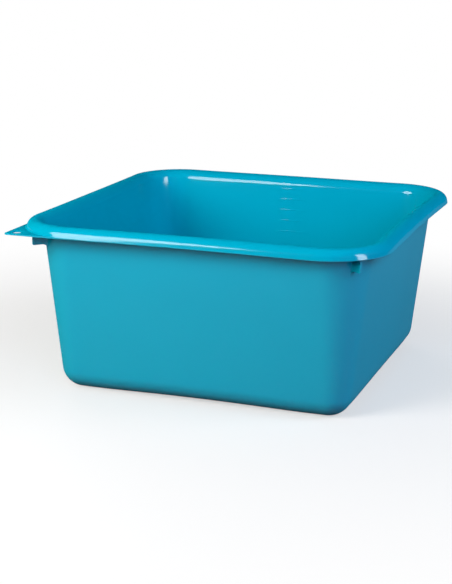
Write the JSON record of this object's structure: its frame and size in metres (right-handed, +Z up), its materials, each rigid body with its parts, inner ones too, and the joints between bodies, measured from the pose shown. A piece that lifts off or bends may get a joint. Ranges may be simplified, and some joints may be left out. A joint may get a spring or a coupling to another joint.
{
  "type": "square basin",
  "caption": "Square plastic basin with tapered walls, a rolled rim stiffened by corner ribs, a hanging eye at one corner and a raised volume scale inside.",
  "frame": {"origin": "middle of the square at the level that the basin stands on", "axes": "+Z up, -Y the front of the basin, +X to the right along the front; the hanging eye is in the -X -Y corner and the litre scale on the inside of the +Y wall"},
  "size_m": [0.343, 0.343, 0.1603],
  "materials": {
    "turquoise_polypropylene": "smooth moulded gloss, one colour through"
  },
  "bodies": {
    "root": {"tub_shell": "turquoise_polypropylene", "rolled_rim": "turquoise_polypropylene", "hanging_eye": "turquoise_polypropylene", "corner_rib_front_left": "turquoise_polypropylene", "corner_rib_front_right": "turquoise_polypropylene", "corner_rib_back_left": "turquoise_polypropylene", "corner_rib_back_right": "turquoise_polypropylene", "litre_mark_07": "turquoise_polypropylene", "litre_mark_08": "turquoise_polypropylene", "litre_mark_09": "turquoise_polypropylene", "litre_mark_10": "turquoise_polypropylene", "litre_mark_11": "turquoise_polypropylene", "litre_mark_12": "turquoise_polypropylene"}
  },
  "joints": []
}
